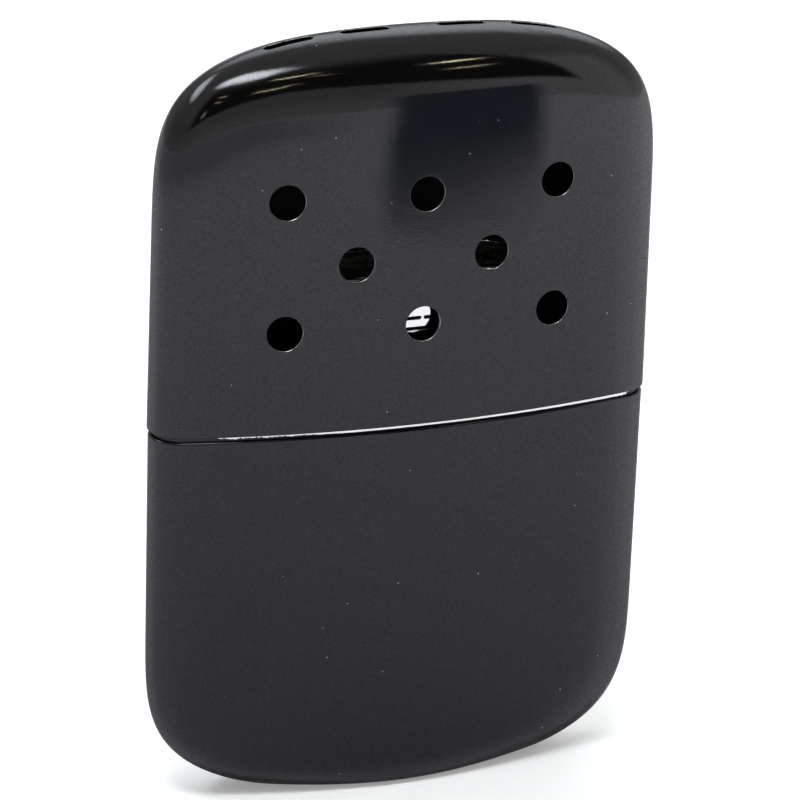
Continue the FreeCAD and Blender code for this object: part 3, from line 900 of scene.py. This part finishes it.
def felted(node, name, finish, voxel, lump, depth, swell):
    """A soft piece: the solid's form swollen at the top and drawn in by lumps and fuzz; gives its box,
    points and normals too."""
    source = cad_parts[node]
    made = placed(name, source.data.copy())
    made.matrix_world = source.matrix_world
    remesh = made.modifiers.new("even", "REMESH")
    remesh.mode = "VOXEL"
    remesh.voxel_size = voxel * MM / source.matrix_world.to_scale()[0]
    bpy.context.view_layer.update()
    shape = bpy.data.meshes.new_from_object(made.evaluated_get(bpy.context.evaluated_depsgraph_get()))
    bpy.data.objects.remove(made)
    shape.transform(source.matrix_world)
    low, high = node_box(node)
    high = high + UP * swell
    points = np.array([vertex.co for vertex in shape.vertices]) / MM
    normals = np.array([vertex.normal for vertex in shape.vertices])
    faces = [tuple(face.vertices) for face in shape.polygons]
    drawn_in = np.array([depth * soft_lump(point, lump) for point in points])
    points = points - normals * drawn_in[:, None]
    if swell:
        points += np.outer(swell * freedom(points) * np.clip(normals[:, 2], 0, 1), UP)
    points = np.clip(points, low + 0.01, high - 0.01)
    mesh = bpy.data.meshes.new(name)
    mesh.from_pydata((points * MM).tolist(), [], faces)
    mesh.polygons.foreach_set("use_smooth", [True] * len(faces))
    mesh.materials.append(FINISHES[finish])
    return placed(name, mesh), (low, high), points, normals


def freedom(points):
    """0 to 1, how freely the mat swells: the wire holds it down, but at the back it has crept over the
    loop."""
    low, high = node_box("retainer_wire")
    loop = Tube(high[:2] - (high[2] - low[2]) / 2)
    from_loop = np.abs(loop.off(points, 0)) + np.clip(points[:, 1] - 0.5, 0, 2)
    from_bars = np.min([np.abs(points[:, 0] - place) for place in CROSSBARS], axis=0)
    return np.clip((np.minimum(from_loop, from_bars) - 0.25) / 0.8, 0, 1)


def soft_lump(point, lump):
    """0 to 1: lumps with finer fuzz on them."""
    broad = noise.noise(Vector(point / lump))
    fine = noise.noise(Vector(point / (0.22 * lump) + 7))
    return min(max(0.5 + 0.55 * broad + 0.3 * fine, 0), 1)


def loose_hairs(name, box, points, normals, count, length, radius):
    """Loose fibres scattered over the top of a soft piece."""
    rng = random.Random(name)
    low, high = box
    tops = np.flatnonzero((normals[:, 2] > 0.8) & (points[:, 2] > (low[2] + high[2]) / 2))
    skin = Skin()
    strands = []
    for _ in range(count):
        start = points[tops[rng.randrange(len(tops))]] + UP * rng.uniform(-0.03, 0.1)
        points_along = strand_points(rng, start, rng.uniform(0, 2 * math.pi), length * rng.uniform(0.5, 1.3))
        strands.append([np.clip(point, low + radius, high - radius) for point in points_along])
    add_strands(skin, strands, radius)
    return skin


def wire_curve(name, runs, radius, material):
    """Round wire along each run of points, (points, closed), in millimetres."""
    curve = bpy.data.curves.new(name, "CURVE")
    curve.dimensions = "3D"
    curve.bevel_depth = radius * MM
    curve.bevel_resolution = 5
    curve.use_fill_caps = True
    for points, closed in runs:
        spline = curve.splines.new("POLY")
        spline.points.add(len(points) - 1)
        for target, point in zip(spline.points, points):
            target.co = (*(np.array(point) * MM), 1)
        spline.use_cyclic_u = closed
        spline.use_smooth = True
    curve.materials.append(FINISHES[material])
    return placed(name, curve)


def make_retainer_wire():
    """The loop that holds the mat down, with its three crossbars."""
    low, high = node_box("retainer_wire")
    radius = (high[2] - low[2]) / 2
    level = (high[2] + low[2]) / 2
    form = Tube(high[:2] - radius, run_columns=24, quarter_columns=14)
    loop = form.ring(level, 0)
    loop[:, 2] -= 0.06 * radius * (1 + np.sin(loop[:, 0] * 1.7))  # not quite level, as bent by hand
    half = high[1] - radius
    across = np.linspace(-half, half, BAR_POINTS)
    sag = 0.12 * radius * np.cos(across / half * math.pi / 2) + 0.02  # pressed into the mat
    bars = []
    for place in CROSSBARS:
        bars.append((np.column_stack((np.full(BAR_POINTS, place), across, level - sag)), False))
    loop_wire = wire_curve("retainer_loop", [(loop, True)], radius - 0.005, "bare_steel")
    bar_wire = wire_curve("retainer_bars", bars, BAR_RADIUS, "bare_steel")
    return loop_wire, bar_wire


# ---------------- putting it together

lid = make_lid()
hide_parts("lid_shell")
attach(lid, "lid")

tank = make_tank()
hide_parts("tank_shell")
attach(tank, "tank")

cover = make_burner_cover()
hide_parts("burner_housing")
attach(cover, "burner")

loop_wire, bar_wire = make_retainer_wire()
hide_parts("retainer_wire")
for wire in (loop_wire, bar_wire):
    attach(wire, "burner")

SOFT = (
    # solid, piece, finish and slot, body, (voxel, lump size, lump depth), swell at the top, fill, and
    # the loose fibres' (count, length, radius)
    (
        "catalyst_mat", "fibre_mat", "catalyst_fibre", "burner",
        (0.28, 1.3, 0.35), 0.85, 0.8, (900, 2.4, 0.035),
    ),
    ("wick_pad", "wick", "felt", "tank", (0.3, 1.6, 0.12), 0, 0.9, (260, 1.6, 0.02)),
    ("felt_sheet", "felt", "felt", "tank", (0.6, 3.0, 0.15), 0, 0.9, None),
    *(
        (f"{place}_cotton_wad", f"{place}_cotton", "cotton", "tank", (0.8, 5.0, 0.5), 0, 0.8, None)
        for place in ("collar", "upper", "middle", "lower", "bottom")
    ),
)
for node, name, finish, body, lumps, swell, fill, hair in SOFT:
    made, box, points, normals = felted(node, name, finish, *lumps, swell)
    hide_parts(node)
    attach(made, body)
    if hair:
        hairs = loose_hairs(name, box, points, normals, *hair)
        fuzz = hairs.make(f"{name}_hairs", "catalyst_hair" if finish == "catalyst_fibre" else finish)
        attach(fuzz, body)

for node, finish in (
    ("tank_top", "polished_plate"),
    ("filler_neck", "bare_steel"),
    ("burner_socket", "bare_steel"),
    ("catalyst_tray", "bare_steel"),
):
    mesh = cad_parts[node].data
    mesh.materials.clear()
    mesh.materials.append(FINISHES[finish])

# ---------------- floor, light and camera


def stage_sheet(name, corners, finish):
    """A flat sheet of the stage, its corners in metres."""
    mesh = bpy.data.meshes.new(name)
    mesh.from_pydata(corners, [], [tuple(range(len(corners)))])
    mesh.materials.append(finish.material)
    made = placed(name, mesh)
    return made


def mirror_card(name, corners, finish):
    """A sheet that is seen only in mirrors."""
    made = stage_sheet(name, corners, finish)
    for ray in ("camera", "diffuse", "shadow", "transmission"):
        setattr(made, f"visible_{ray}", False)


def make_floor():
    """A wide pale floor, a little uneven in tone."""
    floor = Finish("pale_floor", {"Roughness": 0.9, "Specular IOR Level": 0.1})
    floor.wear({"Emission Color": (1, 1, 1, 1), "Emission Strength": 0.25})
    tone = floor.noise(60.0, 3.0)
    floor.wear({"Base Color": floor.mix(tone, (0.86, 0.86, 0.86, 1), (0.88, 0.88, 0.88, 1))})
    count, radius = 96, 6
    turns = np.linspace(0, 2 * math.pi, count, endpoint=False)
    rim = np.column_stack((radius * np.cos(turns), radius * np.sin(turns), np.zeros(count)))
    stage_sheet("floor", rim.tolist(), floor)


WALLS = (0.5, 0.5, 0.5, 1)
HORIZON = (0.8, 0.8, 0.8, 1)
RIGHT_WALL = (0.95, 0.95, 0.97, 1)
LEFT_SIDE = (0.36, 0.35, 0.33, 1)
DIM = (0.02, 0.02, 0.02, 1)
WARM = (1.0, 0.88, 0.6)
COOL = (0.92, 0.96, 1.0)
# Lights in the room: middle (turn, rise), half sizes along and across, and lean, in degrees; then
# the strength at the middle and the tint
GLOWS = (
    ((-133, 48), (24, 10), 0, 6.5, COOL),
    ((152, 36), (34, 28), 0, 2.7, COOL),
    ((-42, 72), (21, 10), 0, 16.0, COOL),
    ((-49, 28), (3, 5), 0, 2.0, COOL),
    ((-40, 40), (3, 0.8), 5, 8.0, WARM),
    ((-39, 47), (3, 0.8), 5, 8.0, WARM),
    ((-5, 36.5), (8.2, 0.8), 8, 12.0, WARM),
    ((2, 50.5), (6.5, 0.8), 15, 20.0, WARM),
    ((9, 44.5), (2.5, 0.5), 15, 5.0, WARM),
    ((36, 44.4), (5.4, 0.8), -6, 25.0, WARM),
    ((33, 34.6), (4.6, 0.8), -7, 8.0, WARM),
)


def direction(turn, rise):
    """The direction at this turn from the front and rise, in radians."""
    return Vector((math.sin(turn) * math.cos(rise), -math.cos(turn) * math.cos(rise), math.sin(rise)))


def make_flag():
    """A dark card with faded edges, upright on the floor in front."""
    card = Finish("dark_card", {"Roughness": 0.8, "Specular IOR Level": 0.1})
    tone = card.noise(40.0, 2.0)
    where = card.node("ShaderNodeTexCoord", output="Generated")
    across, _, up = card.split(where)
    cover = card.smooth(across, 0.0, 0.14) * card.smooth(across, 1.0, 0.86)
    cover = cover * card.smooth(up - 0.13 * across, -0.13, 0.1) * card.smooth(up, 1.0, 0.95)
    card.wear({"Base Color": card.mix(tone, (0.12, 0.13, 0.18, 1), (0.16, 0.18, 0.24, 1)), "Alpha": cover})
    turn, reach, half, bottom, top = math.radians(26.8), 0.23, 0.0557, 0.001, 0.133
    middle = direction(turn, 0) * reach
    level = Vector((-middle.y, middle.x, 0)).normalized() * half
    corners = [middle - level, middle + level, middle + level, middle - level]
    corners = [(corner.x, corner.y, height) for corner, height in zip(corners, (bottom, bottom, top, top))]
    mirror_card("flag", corners, card)


def make_mirrored_floor_shade():
    """Painted shade on the floor, seen only in mirrors: a dark sheet just over it, fading away from the
    warmer and deeper to the left.
    """
    card = Finish("mirrored_floor_shade", {"Roughness": 0.9, "Specular IOR Level": 0.1})
    tone = card.noise(60.0, 2.0)
    x, y, _ = card.split(card.place())
    away = (x * x + y * y).maths("SQRT")
    turn = x.maths("ARCTAN2", -1 * y) * DEGREES
    # painted shade: darkest round the warmer and, farther out, to the left, where the floor's shade shows in
    # the paint
    near = card.smooth(away, 0.4, -0.1) * 0.52
    left = card.smooth(turn, 22, -6) * card.smooth(turn, -170, -120) * card.smooth(away, 0.2, 0.5) * 0.5
    cover = near + left - near * left
    card.wear({"Base Color": card.mix(tone, (0.05, 0.02, 0.12, 1), (0.06, 0.03, 0.13, 1)), "Alpha": cover})
    half, height = 4, 0.0008
    corners = ((-half, -half), (half, -half), (half, half), (-half, half))
    mirror_card("mirrored_floor_shade", [(*corner, height) for corner in corners], card)


def make_softbox():
    """A wide soft light overhead, kept out of the paint's mirror."""
    light = bpy.data.lights.new("softbox", "AREA")
    light.shape = "DISK"
    light.size = 3.0
    light.energy = 5
    made = placed("softbox", light)
    made.location = (0, 0.2, 2.4)
    made.visible_glossy = False


def make_room():
    """The room as directions: pale walls, lighter to the right and at the horizon, darker low on the
    left, with a dim stretch over the front and the lights in it."""
    world = bpy.data.worlds.new("room")
    bpy.context.scene.world = world
    world.use_nodes = True
    room = Graph(world.node_tree)
    where = room.node("ShaderNodeTexCoord", output="Generated")
    x, y, z = room.split(where)
    turn = x.maths("ARCTAN2", -1 * y) * DEGREES
    rise = z.maths("ARCSINE") * DEGREES
    right = room.smooth(turn, 12, 38) * room.smooth(turn, 90, 70) * room.smooth(rise, 48, 34)
    walls = room.mix(room.smooth(rise, 18, -4), WALLS, HORIZON)
    walls = room.mix(right, walls, RIGHT_WALL)
    left = room.smooth(turn, -35, -80) * room.smooth(rise, 35, 12)
    walls = room.mix(left * 0.6, walls, LEFT_SIDE)
    off_middle = turn + 10
    brow = rise + off_middle * off_middle * 0.0045  # the dim stretch's lower edge is bent down at its ends
    dim = room.smooth(turn, -70, -55) * room.smooth(turn, 50, 45)
    dim = dim * room.smooth(brow, 24.5, 28) * room.smooth(rise, 72, 50)
    colour = room.mix(dim, walls, DIM)
    for middle, half, lean, strength, tint in GLOWS:
        towards = direction(*map(math.radians, middle))
        level = Vector((-towards.y, towards.x, 0)).normalized()
        along = Matrix.Rotation(math.radians(-lean), 3, towards) @ level
        away = []
        for axis, size in zip((along, towards.cross(along)), half):
            across = room.dot(where, axis) * (1 / math.sin(math.radians(size)))
            away.append(across * across)
        near = room.smooth(away[0] + away[1], 1.0, 0.0) * room.smooth(room.dot(where, towards), 0, 0.1)
        glow = [strength * share for share in tint]
        colour = room.mix(near, colour, (*glow, 1))
    room.feed(world.node_tree.nodes["Background"], {"Color": colour, "Strength": 1.0})


def make_camera():
    """The camera, turned and rolled about its aim."""
    turn, rise, roll = (math.radians(angle) for angle in (-21.676, 20.980, 2.034))
    distance, aim_x, aim_z, focal_pixels, picture = 555.709, 0.110, 50.849, 4371.825, 800
    back = direction(turn, rise)
    level = Vector((math.cos(turn), math.sin(turn), 0))
    above = back.cross(level)
    right = level * math.cos(roll) + above * math.sin(roll)
    top = above * math.cos(roll) - level * math.sin(roll)
    place = (Vector((aim_x, 0, aim_z)) + back * distance) * MM
    data = bpy.data.cameras.new("camera")
    data.sensor_width = 36
    data.lens = focal_pixels * data.sensor_width / picture
    data.clip_start = 0.01
    camera = placed("camera", data)
    turned = Matrix((right, top, back)).transposed().to_4x4()
    camera.matrix_world = Matrix.Translation(place) @ turned
    bpy.context.scene.camera = camera


make_floor()
make_room()
make_softbox()
make_flag()
make_mirrored_floor_shade()
make_camera()
bpy.context.scene.view_settings.view_transform = "Standard"
